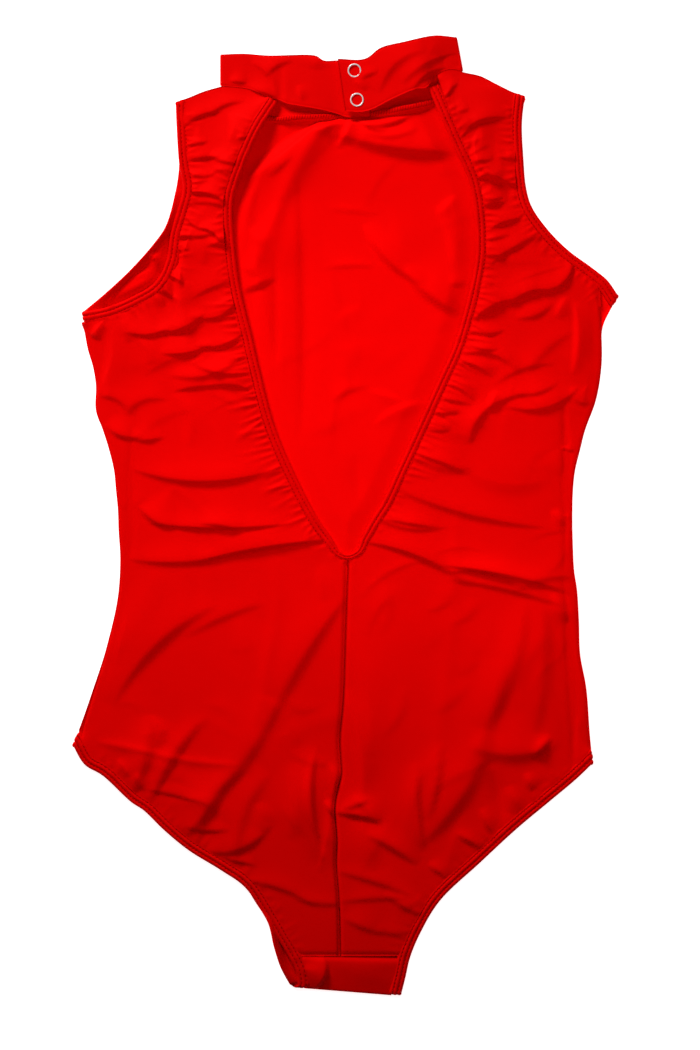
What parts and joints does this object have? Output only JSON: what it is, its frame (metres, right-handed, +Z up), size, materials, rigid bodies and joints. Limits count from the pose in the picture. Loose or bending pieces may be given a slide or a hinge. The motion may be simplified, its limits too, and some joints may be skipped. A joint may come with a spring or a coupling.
{
  "type": "ballet leotard",
  "caption": "Sleeveless stretch ballet leotard with a mock neck that snaps behind and a teardrop open back, laid flat with its back up.",
  "frame": {"origin": "centre of the bounding box's base, on the surface that the garment lies on", "axes": "+X to the right of the laid garment as seen with the collar away from the viewer, +Y towards the collar, +Z up off the surface and out of the garment's back"},
  "size_m": [0.3943, 0.6904, 0.0095],
  "materials": {
    "jersey": "matt stretch jersey knit, saturated red",
    "edging": "the same jersey turned over elastic and twin-needled",
    "snap": "nickel-plated ring snap, satin"
  },
  "bodies": {
    "root": {"front_panel": "jersey", "back_panel_left": "jersey", "back_panel_right": "jersey", "crotch_gusset": "jersey", "collar": "jersey", "keyhole_binding": "edging", "armhole_binding_left": "edging", "armhole_binding_right": "edging", "leg_binding_left": "edging", "leg_binding_right": "edging", "snap_ring_upper": "snap", "snap_ring_lower": "snap", "snap_back_ring_upper": "snap", "snap_back_ring_lower": "snap", "snap_socket_upper": "snap", "snap_socket_lower": "snap", "snap_stud_upper": "snap", "snap_stud_lower": "snap"}
  },
  "joints": []
}
